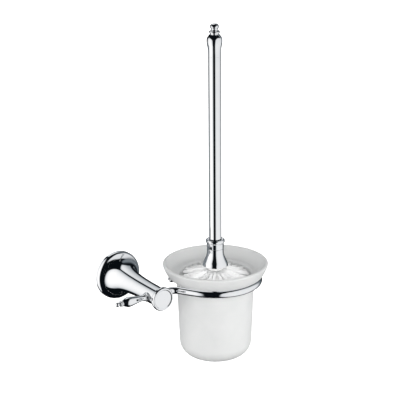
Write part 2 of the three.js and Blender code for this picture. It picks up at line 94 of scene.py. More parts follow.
def place(origin_mm, axis):
    """The matrix that carries an outline's height onto the axis, from the origin."""
    turn = Vector(axis).to_track_quat("Z", "Y").to_matrix().to_4x4()
    return Matrix.Translation(Vector(origin_mm) * MM) @ turn


ARM = place((0, 0, 0), (0, -1, 0))  # heights are distances from the wall
LEVER = place((0, CLAMP_Y, 0), (-1, 0, 0))  # heights are distances from the arm's axis
STEM = place((0, CLAMP_Y, 0), (1, 0, 0))  # the same, towards the ring
UPRIGHT = place((CUP_X, CUP_Y, 0), (0, 0, 1))  # heights are z


# ---------------------------------------------------------------------------------------------
# Outlines: lists of (radius, height) points in millimetres
# ---------------------------------------------------------------------------------------------

FILLET_STEPS = 6
FILLET_SHARE = 0.48  # the most that a fillet takes of the side before or after it
SUPPORT = 0.12  # beyond a fillet's end, a point about this far off at most keeps the flat flat


def line(*points):
    """An outline with sharp corners."""
    return [Vector(p) for p in points]


def rounded(corners):
    """The outline through these corners, each rounded off by the radius given third."""
    made = []
    for i, corner in enumerate(corners):
        at = Vector(corner[:2])
        turn = corner[2] if len(corner) > 2 else 0
        if not turn or not 0 < i < len(corners) - 1:
            made.append(at)
            continue
        before, after = Vector(corners[i - 1][:2]) - at, Vector(corners[i + 1][:2]) - at
        back, ahead = before.normalized(), after.normalized()
        shorter = min(before.length, after.length)
        half = before.angle(after) / 2
        reach = min(turn / math.tan(half), FILLET_SHARE * shorter)
        turn = reach * math.tan(half)
        centre = at + (back + ahead).normalized() * (turn / math.sin(half))
        start, end = at + back * reach - centre, at + ahead * reach - centre
        sweep = start.angle_signed(end)
        support = min(SUPPORT, 0.01 * shorter) + 0.02
        made.append(at + back * (reach + support))
        for step in range(FILLET_STEPS + 1):
            spoke = start.copy()
            spoke.rotate(Matrix.Rotation(-sweep * step / FILLET_STEPS, 2))
            made.append(centre + spoke)
        made.append(at + ahead * (reach + support))
    return made


def arc(centre_r, centre_h, size, start, end, steps):
    """Points on an arc, with angles in degrees from the radius direction."""
    angles = [math.radians(start + (end - start) * i / steps) for i in range(steps + 1)]
    return line(*((centre_r + size * math.cos(a), centre_h + size * math.sin(a)) for a in angles))


def through(points, steps_each):
    """A smooth curve through the points."""
    points = line(*points)
    made = []
    for i in range(len(points) - 1):
        a, b = points[i], points[i + 1]
        leave = (b - points[max(i - 1, 0)]) / 2
        arrive = (points[min(i + 2, len(points) - 1)] - a) / 2
        for step in range(steps_each):
            t = step / steps_each
            made.append(
                a * (2 * t**3 - 3 * t**2 + 1) + leave * (t**3 - 2 * t**2 + t)
                + b * (3 * t**2 - 2 * t**3) + arrive * (t**3 - t**2)
            )
    return made + [points[-1]]


def bezier(a, b, c, d, steps):
    """A curve from a to d that leaves towards b and arrives from c."""
    a, b, c, d = line(a, b, c, d)
    made = []
    for i in range(steps + 1):
        t = i / steps
        made.append(a * (1 - t)**3 + b * 3 * t * (1 - t)**2 + c * 3 * t * t * (1 - t) + d * t**3)
    return made


# ---------------------------------------------------------------------------------------------
# Mesh makers
# ---------------------------------------------------------------------------------------------

SHARP = math.radians(38)
ON_AXIS = 1e-4  # an outline's point closer to its axis than this becomes a single corner


def add_object(name, data):
    """A new object in the scene."""
    made = bpy.data.objects.new(name, data)
    bpy.context.scene.collection.objects.link(made)
    return made


def piece_from(name, mesh):
    """An object of a bmesh, shaded smooth apart from its sharp edges."""
    bmesh.ops.recalc_face_normals(mesh, faces=mesh.faces)
    for face in mesh.faces:
        face.smooth = True
    for edge in mesh.edges:
        edge.smooth = not (edge.is_manifold and edge.calc_face_angle() > SHARP)
    data = bpy.data.meshes.new(name)
    mesh.to_mesh(data)
    mesh.free()
    return add_object(name, data)


def turned(name, outline, where, around=128):
    """The solid that the outline sweeps round its axis. An outline that starts off the axis closes
    on itself."""
    mesh = bmesh.new()
    angles = [2 * math.pi * k / around for k in range(around)]
    rings = []
    for r, h in outline:
        if r < ON_AXIS:
            rings.append([mesh.verts.new(where @ Vector((0, 0, h * MM)))])
            continue
        rings.append([
            mesh.verts.new(where @ (Vector((r * math.cos(a), r * math.sin(a), h)) * MM))
            for a in angles
        ])
    pairs = list(zip(rings, rings[1:]))
    if len(rings[0]) > 1:
        pairs.append((rings[-1], rings[0]))
    for one, two in pairs:
        for k in range(around):
            after = (k + 1) % around
            if len(one) == 1:
                mesh.faces.new((one[0], two[k], two[after]))
            elif len(two) == 1:
                mesh.faces.new((one[k], one[after], two[0]))
            else:
                mesh.faces.new((one[k], one[after], two[after], two[k]))
    return piece_from(name, mesh)


def bar(size, start, end, where, around=64):
    """A plain round bar, for cutting holes."""
    return turned("cutter", line((0, start), (size, start), (size, end), (0, end)), where, around)


def carved(piece, *cutters):
    """The piece with the cutters taken out of it."""
    for cutter in cutters:
        cut = piece.modifiers.new("cut", "BOOLEAN")
        cut.operation = "DIFFERENCE"
        cut.solver = "EXACT"
        cut.object = cutter
    bpy.context.view_layer.update()
    ready = piece.evaluated_get(bpy.context.evaluated_depsgraph_get())
    data = bpy.data.meshes.new_from_object(ready)
    piece.modifiers.clear()
    piece.data = data
    for cutter in cutters:
        bpy.data.objects.remove(cutter)
    return piece


def finished(piece, *nodes):
    """The piece stands for these CAD nodes: it takes their body, slot and material."""
    slot = SLOT_OF[nodes[0]]
    piece.data.materials.clear()
    piece.data.materials.append(MATERIALS[slot])
    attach(piece, BODY_OF[nodes[0]])
    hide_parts(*nodes)
    return piece


# ---------------------------------------------------------------------------------------------
# Materials
# ---------------------------------------------------------------------------------------------

def new_material(name, colour, roughness, metallic=0.0):
    """A material with its shader, and the object's own coordinates for its textures."""
    material = bpy.data.materials.new(name)
    material.use_nodes = True
    nodes = material.node_tree.nodes
    shader = nodes["Principled BSDF"]
    shader.inputs["Base Color"].default_value = (*colour, 1)
    shader.inputs["Roughness"].default_value = roughness
    shader.inputs["Metallic"].default_value = metallic
    return material, shader, nodes.new("ShaderNodeTexCoord").outputs["Object"]


def add_noise(material, coordinates, scale, detail=3.0, stretch=(1, 1, 1)):
    """A noise texture's value, from 0 to 1, with features of about 1 / scale metres."""
    nodes, links = material.node_tree.nodes, material.node_tree.links
    mapping = nodes.new("ShaderNodeMapping")
    mapping.inputs["Scale"].default_value = stretch
    noise = nodes.new("ShaderNodeTexNoise")
    noise.inputs["Scale"].default_value = scale
    noise.inputs["Detail"].default_value = detail
    links.new(coordinates, mapping.inputs["Vector"])
    links.new(mapping.outputs["Vector"], noise.inputs["Vector"])
    return noise.outputs["Fac"]


def map_range(tree, value, *ends, curve="LINEAR"):
    """The value carried from the first two ends to the last two."""
    node = tree.nodes.new("ShaderNodeMapRange")
    node.interpolation_type = curve
    for name, number in zip(("From Min", "From Max", "To Min", "To Max"), ends):
        node.inputs[name].default_value = number
    tree.links.new(value, node.inputs["Value"])
    return node.outputs["Result"]


def spread(material, noise, lowest, highest):
    """Most of the noise's range, carried to lowest..highest."""
    return map_range(material.node_tree, noise, 0.3, 0.7, lowest, highest)


def roughen(material, shader, noise, lowest, highest):
    """Roughness that runs from lowest to highest with the noise."""
    roughness = spread(material, noise, lowest, highest)
    material.node_tree.links.new(roughness, shader.inputs["Roughness"])


def add_bump(material, shader, height, distance):
    """Bump of that height."""
    node = material.node_tree.nodes.new("ShaderNodeBump")
    node.inputs["Strength"].default_value = 1.0
    node.inputs["Distance"].default_value = distance
    links = material.node_tree.links
    links.new(height, node.inputs["Height"])
    links.new(node.outputs["Normal"], shader.inputs["Normal"])


def tint(material, shader, value, dark, light):
    """Base colour that runs from dark to light with the value."""
    node = material.node_tree.nodes.new("ShaderNodeMix")
    node.data_type = "RGBA"
    node.inputs["A"].default_value = (*dark, 1)
    node.inputs["B"].default_value = (*light, 1)
    links = material.node_tree.links
    links.new(value, node.inputs["Factor"])
    links.new(node.outputs["Result"], shader.inputs["Base Color"])


def chrome():
    """Polished chrome plate: faint haze patches, and a plated surface that is never quite flat."""
    material, shader, at = new_material("chrome", (0.86, 0.87, 0.885), 0.03, 1.0)
    haze = add_noise(material, at, 90, 4)
    shade = spread(material, haze, 0, 1)
    tint(material, shader, shade, (0.845, 0.857, 0.875), (0.88, 0.885, 0.895))
    roughen(material, shader, haze, 0.015, 0.05)
    add_bump(material, shader, add_noise(material, at, 160, 2), 0.000012)
    return material


def steel():
    """Zinc-plated steel: dull, mottled, with fine drawing marks."""
    material, shader, at = new_material("zinc_steel", (0.62, 0.63, 0.64), 0.35, 1.0)
    mottle = spread(material, add_noise(material, at, 350, 5), 0, 1)
    tint(material, shader, mottle, (0.5, 0.51, 0.53), (0.68, 0.685, 0.69))
    marks = add_noise(material, at, 900, 2, (1, 1, 8))
    roughen(material, shader, marks, 0.26, 0.46)
    add_bump(material, shader, marks, 0.00003)
    return material


def frosted_glass():
    """Acid-frosted glass: it lets light through and scatters it, with a fine etched grain."""
    material, shader, at = new_material("frosted_glass", (0.9, 0.91, 0.905), 0.5)
    shader.inputs["IOR"].default_value = 1.5
    shader.inputs["Transmission Weight"].default_value = 0.25
    cloud = spread(material, add_noise(material, at, 60, 3), 0, 1)
    tint(material, shader, cloud, (0.885, 0.895, 0.89), (0.925, 0.93, 0.925))
    grain = add_noise(material, at, 2600, 2)
    roughen(material, shader, grain, 0.46, 0.58)
    add_bump(material, shader, grain, 0.00004)
    return material


def white_plastic():
    """Moulded polypropylene: satin, with a faint flow pattern."""
    material, shader, at = new_material("white_plastic", (0.86, 0.86, 0.85), 0.4)
    flow = add_noise(material, at, 120, 3, (1, 1, 0.3))
    shade = spread(material, flow, 0, 1)
    tint(material, shader, shade, (0.82, 0.82, 0.81), (0.88, 0.88, 0.87))
    roughen(material, shader, flow, 0.33, 0.47)
    add_bump(material, shader, add_noise(material, at, 700, 3), 0.00004)
    return material


def bristle():
    """White nylon filament: each strand its own shade, and an uneven gloss."""
    material, shader, at = new_material("nylon", (0.9, 0.905, 0.91), 0.45)
    strand = material.node_tree.nodes.new("ShaderNodeNewGeometry").outputs["Random Per Island"]
    tint(material, shader, strand, (0.82, 0.825, 0.83), (0.97, 0.97, 0.965))
    roughen(material, shader, add_noise(material, at, 1500, 2), 0.38, 0.55)
    return material


MATERIALS = {
    "chrome": chrome(),
    "steel": steel(),
    "frosted_glass": frosted_glass(),
    "white_plastic": white_plastic(),
    "bristle": bristle(),
}


# ---------------------------------------------------------------------------------------------
# Wall side and arm. Heights are distances from the wall.
# ---------------------------------------------------------------------------------------------

FLANGE_R = radius("wall_flange")
SEAM = -low("wall_flange", Y)  # where the flange's curve runs on into the arm's
BAND = 2.4  # up to here the flange's side is straight
EDGE_R, EDGE_TURN = 4.4, 60  # then it rounds off, through these degrees
ARM_END_R = 10.2  # what the arm narrows to
FLARE, FLARE_LENGTH = 8.4, 21  # the long flare towards the wall
COVE, COVE_LENGTH = 3.4, 4.3  # the tight one at the flange
ARM_TIP = -low("trumpet_arm", Y)
CAP_BACK = ARM_TIP + TOUCH
CAP_FACE = -low("end_cap", Y)
CAP_R = radius("end_cap")
CAP_SPIGOT_R, CAP_BORE_R = 6.5, 6.8
BOLT_HOLE_R = 3.3
STEM_HOLE_R = 4.3  # across the arm, for the ring's stem
STUD_HOLE_R = 2.7  # opposite, for the lever's stud


def trumpet_radius(s):
    """Radius of the one curve that shapes the flange's front and the arm."""
    flare, cove = (math.exp((SEAM - s) / length) for length in (FLARE_LENGTH, COVE_LENGTH))
    return ARM_END_R + FLARE * flare + COVE * cove


def trumpet(start, end, steps):
    """Points on that curve, closer together where it turns faster."""
    shares = [(i / steps) ** 1.5 for i in range(steps + 1)]
    heights = [start + (end - start) * t for t in shares]
    return line(*((trumpet_radius(s), s) for s in heights))


def plate_disc():
    """The pressed steel disc on the wall, with two countersunk holes."""
    size, rim, thick = radius("mounting_plate"), -low("mounting_plate", Y), 1.5
    outline = rounded([
        (0, 0), (size, 0, 0.8), (size, rim, 0.5), (size - thick, rim, 0.5),
        (size - thick, thick, 0.6), (8, thick, 0.3), (7.2, thick - 0.25, 0.3), (0, thick - 0.25),
    ])
    disc = turned("plate_disc", outline, ARM, 96)
    hole = line((0, -1), (2.6, -1), (2.6, 0.6), (3.6, 1.6), (3.6, 3), (0, 3))
    places = [place((side * 13, 0, 0), (0, -1, 0)) for side in (-1, 1)]
    cutters = [turned("cutter", hole, where, 48) for where in places]
    return finished(carved(disc, *cutters), "mounting_plate")


def flange_shell():
    """The round rosette: a rounded rim whose front sweeps up towards the arm."""
    hollow, ceiling = 24.8, 5.2
    edge = arc(FLANGE_R - EDGE_R, BAND, EDGE_R, 0, EDGE_TURN, 14)
    outline = line((hollow, 0), (FLANGE_R - 0.25, 0), (FLANGE_R, 0.25)) + edge
    outline += trumpet(edge[-1].y + 0.45, SEAM, 18)
    outline += line(
        (BOLT_HOLE_R, SEAM), (BOLT_HOLE_R, ceiling), (hollow - 2.2, ceiling), (hollow, 2.6),
    )
    shell = turned("flange_shell", outline, ARM, 192)
    set_screw = bar(2.3, 20, 30, place((0, middle("flange_set_screw", Y), 0), (0, 0, -1)), 32)
    return finished(carved(shell, set_screw), "wall_flange")


def arm_horn():
    """The trumpet-shaped arm, bored for the cap and drilled across for the stem and the stud."""
    foot, bore_floor = SEAM + TOUCH, 20
    outline = trumpet(foot, ARM_TIP - 0.3, 60)
    outline += line(
        (trumpet_radius(ARM_TIP) - 0.3, ARM_TIP), (CAP_BORE_R, ARM_TIP), (CAP_BORE_R, bore_floor),
        (BOLT_HOLE_R, bore_floor), (BOLT_HOLE_R, foot),
    )
    horn = turned("arm_horn", outline, ARM, 160)
    holes = bar(STEM_HOLE_R, 0, 20, STEM), bar(STUD_HOLE_R, 0, 20, LEVER)
    return finished(carved(horn, *holes), "trumpet_arm")


def cap_disc():
    """The cap on the arm's front: a raised bead round a shallow dished face."""
    spigot_end = ARM_TIP - 7.5
    outline = rounded([
        (0, spigot_end), (CAP_SPIGOT_R, spigot_end, 0.4), (CAP_SPIGOT_R, CAP_BACK),
        (CAP_R - 1.3, CAP_BACK), (CAP_R - 0.1, CAP_BACK + 1, 0.9), (CAP_R, CAP_FACE - 1.6, 0.8),
        (CAP_R - 0.9, CAP_FACE, 0.9), (CAP_R - 2.2, CAP_FACE - 0.2, 0.6),
        (CAP_R - 3.2, CAP_FACE - 1, 0.8), (CAP_R - 5, CAP_FACE - 0.9, 2), (0, CAP_FACE - 0.55),
    ])
    return finished(turned("cap_disc", outline, ARM, 160), "end_cap")


# ---------------------------------------------------------------------------------------------
# Ring and clamp. The lever's and collar's heights are distances from the arm's axis.
# ---------------------------------------------------------------------------------------------

WIRE_R = radius("holder_ring", Z)
RING_R = high("holder_ring", X) - CUP_X - WIRE_R
RING_JOIN = math.radians(-150)  # where the wire reaches the circle, about the cup's axis from +X
RING_END = math.radians(135.5)  # and where it leaves it again
RING_TAIL = 7.5  # length of the wire's straight free end
BEND_R = 12
BEND_STEPS, CIRCLE_STEPS, TIP_STEPS = 16, 150, 10
COLLAR_R = radius("ring_collar", Z)
COLLAR_END = high("ring_collar", X)


def ring_route():
    """The wire's centre line, as points with their directions: stem, bend, circle and tail."""
    def on_circle(angle):
        spoke = Vector((math.cos(angle), math.sin(angle)))
        return Vector((CUP_X, CUP_Y)) + spoke * RING_R, Vector((-spoke.y, spoke.x))

    joint, tangent = on_circle(RING_JOIN)
    corner_x = joint.x + tangent.x * (CLAMP_Y - joint.y) / tangent.y
    turn = -math.atan2(tangent.y, tangent.x)
    bend_x = corner_x - BEND_R * math.tan(turn / 2)
    stem = low("holder_ring", X), 4, bend_x - 0.4
    route = [(Vector((x, CLAMP_Y)), Vector((1, 0))) for x in stem]
    for i in range(BEND_STEPS + 1):
        angle = turn * i / BEND_STEPS
        ahead, aside = BEND_R * math.sin(angle), BEND_R * (1 - math.cos(angle))
        at = Vector((bend_x + ahead, CLAMP_Y - aside))
        route.append((at, Vector((math.cos(angle), -math.sin(angle)))))
    bend_end = route[-1][0]
    route += [(bend_end.lerp(joint, share), tangent) for share in (0.04, 0.96)]
    sweep = RING_END - RING_JOIN
    route += [on_circle(RING_JOIN + sweep * i / CIRCLE_STEPS) for i in range(CIRCLE_STEPS + 1)]
    circle_end, tangent = route[-1]
    return route + [(circle_end + tangent * RING_TAIL * share, tangent) for share in (0.04, 1)]


def ring_wire():
    """The bent wire, its free end rounded off."""
    around = 40
    angles = [2 * math.pi * k / around for k in range(around)]
    mesh = bmesh.new()
    rings = []

    def add_ring(centre, along, size):
        side, up = Vector((-along.y, along.x, 0)), Vector((0, 0, 1))
        rings.append([
            mesh.verts.new((centre.to_3d() + size * (math.cos(a) * side + math.sin(a) * up)) * MM)
            for a in angles
        ])

    route = ring_route()
    for centre, along in route:
        add_ring(centre, along, WIRE_R)
    end, along = route[-1]
    for step in range(1, TIP_STEPS):
        angle = math.radians(90) * step / TIP_STEPS
        add_ring(end + along * WIRE_R * math.sin(angle), along, WIRE_R * math.cos(angle))
    tip = mesh.verts.new((end + along * WIRE_R).to_3d() * MM)
    for one, two in zip(rings, rings[1:]):
        for k in range(around):
            after = (k + 1) % around
            mesh.faces.new((one[k], one[after], two[after], two[k]))
    for k in range(around):
        mesh.faces.new((rings[-1][k], rings[-1][(k + 1) % around], tip))
    mesh.faces.new(rings[0])
    stud_hole = bar(STUD_HOLE_R, -6, 6, STEM, 32)
    return finished(carved(piece_from("ring_wire", mesh), stud_hole), "holder_ring")


def saddle(name, outline, where, node):
    """A turned collar whose inner end is hollowed to sit on the arm's round side."""
    arm_side = bar(trumpet_radius(-CLAMP_Y) + 0.15, 40, 110, ARM, 160)
    return finished(carved(turned(name, outline, where, 96), arm_side), node)


def stem_collar():
    """The shoulder round the ring's stem."""
    outline = rounded([
        (STEM_HOLE_R, 4), (COLLAR_R, 4), (COLLAR_R, COLLAR_END - 2.2, 0.4),
        (COLLAR_R - 0.5, COLLAR_END - 1.8, 0.3), (COLLAR_R - 0.4, COLLAR_END, 0.8),
        (STEM_HOLE_R, COLLAR_END, 0.2),
    ])
    return saddle("stem_collar", outline, STEM, "ring_collar")


def seat_ferrule():
    """The ferrule that the lever turns against."""
    size, end = radius("lever_seat", Z), -low("lever_seat", X)
    outline = rounded([
        (STUD_HOLE_R, 4), (size, 4), (size, end - 2.2, 0.5), (size - 0.9, end - 1.2, 0.3),
        (size - 0.8, end, 0.6), (STUD_HOLE_R, end, 0.2),
    ])
    return saddle("seat_ferrule", outline, LEVER, "lever_seat")


def lever_handle():
    """The turned teardrop handle, drilled for the stud and for its tip."""
    start, end = -high("lever_body", X), -low("lever_body", X)
    bulge = radius("lever_body", Z)
    skin = through([
        (3.8, start), (3.2, start + 4), (4.1, start + 10), (bulge, end - 8.5),
        (bulge - 0.3, end - 4.5), (3, end),
    ], 10)
    outline = line((0, start), (3.5, start)) + skin + line((2.8, end + 0.01), (0, end))
    handle = turned("lever_handle", outline, LEVER, 96)
    stud_hole = bar(STUD_HOLE_R, start - 1, 24.3, LEVER, 48)
    tip_hole = bar(1.5, end - 4, end + 1, LEVER, 32)
    return finished(carved(handle, stud_hole, tip_hole), "lever_body")


def lever_rings():
    """Two turned beads at the handle's end."""
    start, end = -high("lever_collar", X) - 0.25, -low("lever_collar", X)
    size = radius("lever_collar", Z)
    outline = rounded([
        (1.5, start), (size - 0.9, start, 0.1), (size, start + 0.7, 0.5), (size, start + 1.5, 0.5),
        (size - 1.1, start + 2.1, 0.25), (size - 0.4, start + 2.7, 0.4),
        (size - 0.5, start + 3.5, 0.4), (size - 1.2, end + 0.2, 0.2), (1.5, end + 0.2),
    ])
    return finished(turned("lever_rings", outline, LEVER, 96), "lever_collar")


def lever_ball():
    """The ball at the lever's tip, on a thin shank."""
    start, end = -high("lever_tip", X), -low("lever_tip", X)
    size = radius("lever_tip", Z)
    ball = arc(0, end - size, size, -62, 90, 24)
    ball[-1].x = 0
    outline = line((0, start), (1.2, start), (1.2, ball[0].y)) + ball
    return finished(turned("lever_ball", outline, LEVER, 64), "lever_tip")


# ---------------------------------------------------------------------------------------------
# Cup. Heights are z.
# ---------------------------------------------------------------------------------------------

GLASS = 4  # thickness of the wall
BASE_THICK = 5
FOOT_R = 17.4  # of the rounding between the base and the wall
WALL_LOW_R = 40.9  # the wall widens from here
NECK_R = 43.8  # to here
BEND_OUT_R = 3  # and bends out to the shoulder
SHOULDER_Z = WIRE_R + 0.4
SHOULDER_R = 50
CUP_BOTTOM = low("glass_cup", Z)
RIM_R = radius("glass_cup")
RIM_Z = high("glass_cup", Z)


def cup_glass():
    """The frosted cup: an even wall with a round foot, a shoulder that rests on the ring, a flared
    bowl."""
    lip = GLASS / 2
    inner_foot = FOOT_R - BASE_THICK

    def bowl(inset, lift):
        return bezier(
            (SHOULDER_R - inset, SHOULDER_Z + lift),
            (SHOULDER_R + 4 - inset, SHOULDER_Z + 0.3 + lift),
            (RIM_R - 2.2 - inset, 12.5 + lift / 2), (RIM_R - inset, RIM_Z - lip), 22,
        )

    wall_low, wall_high = CUP_BOTTOM + FOOT_R, SHOULDER_Z - BEND_OUT_R
    outline = line((0, CUP_BOTTOM))
    outline += arc(WALL_LOW_R - FOOT_R, wall_low, FOOT_R, -90, 0, 20)
    outline += arc(NECK_R + BEND_OUT_R, wall_high, BEND_OUT_R, 180, 90, 10)
    outline += bowl(0, 0)
    outline += arc(RIM_R - lip, RIM_Z - lip, lip, 8, 172, 14)
    outline += bowl(GLASS, GLASS)[::-1]
    outline += arc(NECK_R - GLASS + BEND_OUT_R, wall_high + GLASS, BEND_OUT_R, 90, 180, 10)
    outline += arc(WALL_LOW_R - GLASS - inner_foot, wall_low, inner_foot, 0, -90, 16)
    outline += line((0, CUP_BOTTOM + BASE_THICK))
    cup = finished(turned("cup_glass", outline, UPRIGHT, 192), "glass_cup")
    cup.visible_glossy = False  # the chrome in the photograph mirrors only the studio
    return cup


# ---------------------------------------------------------------------------------------------
# Brush. Heights are z.
# ---------------------------------------------------------------------------------------------

ROD_R = radius("handle_rod")
BELL_RIM_R = radius("bell_cover")
BELL_RIM_Z = low("bell_cover", Z)
BELL_SEAM = high("bell_cover", Z)
BELL_TOP = high("bell_collar", Z)
LIP_R = radius("bell_collar")
NECK_TOP_R = 9.4
HEAD_STUD_HOLE_R = 2.9
BUTTON_HOLE_R = 2.3


def handle_tube():
    """The brush's tube."""
    bottom, top, inner = low("handle_rod", Z), high("handle_rod", Z) + 0.25, ROD_R - 1
    outline = line((ROD_R, bottom), (ROD_R, top), (inner, top), (inner, bottom))
    return finished(turned("handle_tube", outline, UPRIGHT, 96), "handle_rod")


def grip_vase():
    """The vase-shaped grip, its spigot in the tube."""
    bottom, waist, spigot = low("handle_grip", Z) + 10, high("handle_grip", Z), ROD_R - 1.3
    skin = through([
        (ROD_R, bottom), (6.95, bottom + 5), (7.5, bottom + 10.2), (8.2, bottom + 13.6),
        (8.45, bottom + 17.2), (8, bottom + 20.4), (6.2, bottom + 23), (4.9, waist),
    ], 10)
    outline = line((0, bottom - 10), (spigot, bottom - 10), (spigot, bottom)) + skin
    outline += line((BUTTON_HOLE_R, waist), (BUTTON_HOLE_R, waist - 8), (0, waist - 8))
    return finished(turned("grip_vase", outline, UPRIGHT, 96), "handle_grip")


def finial_ring():
    """The bead above the grip's waist."""
    bottom, top = low("finial_collar", Z) - 0.25, high("finial_collar", Z) + 0.2
    bead_r = 1.25
    bead_at = radius("finial_collar") - bead_r, (bottom + top) / 2 + 0.2
    outline = line((BUTTON_HOLE_R, bottom), (4.9, bottom)) + arc(*bead_at, bead_r, -70, 70, 14)
    outline += line((4.4, top), (BUTTON_HOLE_R, top))
    return finished(turned("finial_ring", outline, UPRIGHT, 96), "finial_collar")


def finial_knob():
    """The button on top, its shank down in the grip."""
    bottom, top = low("finial_button", Z), high("finial_button", Z)
    foot = top - 7.5
    skin = through([
        (3.9, foot), (3.7, foot + 1.3), (4.6, foot + 2.9), (4.95, foot + 3.8),
        (4.3, foot + 5.6), (2.6, foot + 6.9), (0, top),
    ], 9)
    outline = line((0, bottom), (2, bottom), (2, foot)) + skin
    return finished(turned("finial_knob", outline, UPRIGHT, 96), "finial_button")


def bell_neck():
    """The collar that the tube stands in, with a recessed lip."""
    seam, hole, stud = BELL_SEAM + TOUCH, ROD_R + 0.15, HEAD_STUD_HOLE_R
    lip_low, lip_floor = BELL_TOP - 4.2, BELL_TOP - 2.7
    hole_floor = low("handle_rod", Z) - 0.3
    outline = rounded([
        (stud, seam), (NECK_TOP_R - 0.35, seam, 0.1), (NECK_TOP_R, seam + 0.45, 0.4),
        (NECK_TOP_R + 0.2, lip_low - 0.2, 0.3), (LIP_R - 0.1, lip_low + 0.9, 0.8),
        (LIP_R, BELL_TOP - 1.2, 1), (LIP_R - 1, BELL_TOP, 0.5), (LIP_R - 1.7, BELL_TOP, 0.3),
        (LIP_R - 1.9, lip_floor, 0.4), (hole, lip_floor, 0.1), (hole, hole_floor),
        (stud, hole_floor),
    ])
    return finished(turned("bell_neck", outline, UPRIGHT, 128), "bell_collar")


def bell_skirt():
    """The flared bell over the brush head's top."""
    def flare(inset, top):
        return through([
            (BELL_RIM_R - inset, BELL_RIM_Z), (BELL_RIM_R - 0.9 - inset, BELL_RIM_Z + 3.4),
            (11.8 - inset, BELL_RIM_Z + 6.9), (10.4 - inset, BELL_RIM_Z + 10.3),
            (9.5 - inset, BELL_RIM_Z + 14.1), (NECK_TOP_R - 0.1 - inset, top),
        ], 9)

    ceiling, rim_z = BELL_SEAM - 2.6, BELL_RIM_Z - 0.02
    outline = flare(0, BELL_SEAM - 0.3)
    outline += line(
        (NECK_TOP_R - 0.4, BELL_SEAM), (HEAD_STUD_HOLE_R, BELL_SEAM), (HEAD_STUD_HOLE_R, ceiling),
    )
    outline += flare(1.3, ceiling)[::-1]
    outline += line((BELL_RIM_R - 1.1, rim_z), (BELL_RIM_R - 0.25, rim_z))
    return finished(turned("bell_skirt", outline, UPRIGHT, 128), "bell_cover")


def core_moulding():
    """The moulded core that the tufts are set in, with a boss up into the bell."""
    size, bottom, top = radius("brush_core"), low("brush_core", Z), high("brush_core", Z)
    boss_r, hole_floor = 7, -20.3
    outline = rounded([
        (0, bottom), (size - 1.5, bottom, 1), (size, bottom + 2, 0.8), (size, 10, 0.6),
        (boss_r, 13, 0.6), (boss_r, top, 0.5), (HEAD_STUD_HOLE_R, top),
        (HEAD_STUD_HOLE_R, hole_floor), (0, hole_floor),
    ])
    return finished(turned("core_moulding", outline, UPRIGHT, 96), "brush_core")


TUFTS_PER_ROW = 24
ROWS = 8
CROWN_STRANDS = 1500
STRAND_R = 0.2
TUFT_ROOT_R = 1.5
TIP_SHARE = 0.37  # of its row's circle that the tufts' tips fill
NO_STRAND = Vector((0.31, 0.17, 0.93))  # a direction in which no strand runs


def strands(name, routes, node):
    """Thin three-sided filaments along the routes, each a list of points in mm."""
    mesh_points, faces = [], []
    corners = [(math.cos(a), math.sin(a)) for a in (0, 2 * math.pi / 3, 4 * math.pi / 3)]
    for route in routes:
        first = len(mesh_points)
        along = (route[-1] - route[0]).normalized()
        side = along.cross(NO_STRAND).normalized()
        other = along.cross(side)
        for at in route:
            mesh_points += [
                UPRIGHT @ ((at + (side * c + other * s) * STRAND_R) * MM) for c, s in corners
            ]
        end = first + 3 * (len(route) - 1)
        for base in range(first, end, 3):
            for k in range(3):
                after = (k + 1) % 3
                faces.append((base + k, base + after, base + 3 + after, base + 3 + k))
        faces += [(first + 2, first + 1, first), (end, end + 1, end + 2)]
    data = bpy.data.meshes.new(name)
    data.from_pydata(mesh_points, [], faces)
    data.polygons.foreach_set("use_smooth", [len(f) == 4 for f in faces])
    return finished(add_object(name, data), node)


def disc_point(draw):
    """A random point in the unit disc."""
    size, angle = math.sqrt(draw.random()), draw.uniform(0, 2 * math.pi)
    return size * math.cos(angle), size * math.sin(angle)


def tuft_row(index):
    """One ring of tufts: each is tight at the core and fans out towards its tip. The top row shows,
    so its tufts have more strands, in a flatter fan that starts higher, up in the bell."""
    node = f"bristle_row_{index}"
    draw = random.Random(100 + index)
    centre_z, tip_r = middle(node, Z), radius(node)
    step = 2 * math.pi / TUFTS_PER_ROW
    half_wide = TIP_SHARE * step * tip_r / 2
    count, heap, flat = (80, 5, 0.6) if index == 1 else (36, 0, 1)
    half_high = (radius(node, Z) - 0.3) * flat
    root = radius("brush_core") - 0.5
    routes = []
    for tuft in range(TUFTS_PER_ROW):
        angle = ((index % 2) / 2 + tuft) * step + draw.gauss(0, 0.018)
        outward = Vector((math.cos(angle), math.sin(angle), 0))
        sideways = Vector((-outward.y, outward.x, 0))
        lean, droop, trim = draw.gauss(0, 0.5), draw.gauss(0, 0.6), draw.uniform(0, 1.2)
        width = half_wide * draw.uniform(0.8, 1.1)
        for _ in range(count):
            across, up = disc_point(draw)
            dome = 0.5 * (across * across + up * up)
            reach = tip_r - 0.15 - trim - abs(draw.gauss(0, 0.35)) - dome
            route = []
            for t in (0, 0.3, 0.65, 1):
                fan = t**0.8
                wide = TUFT_ROOT_R + (width - TUFT_ROOT_R) * fan
                tall = TUFT_ROOT_R + (half_high - TUFT_ROOT_R) * fan
                out = root + (reach - root) * t
                rise = up * tall + heap * (1 - t) ** 1.5 + (droop + draw.gauss(0, 0.2)) * t
                level = outward * out + sideways * (across * wide + lean * t)
                route.append(level + Vector((0, 0, centre_z + rise)))
            routes.append(route)
    return strands(f"tufts_row_{index}", routes, node)


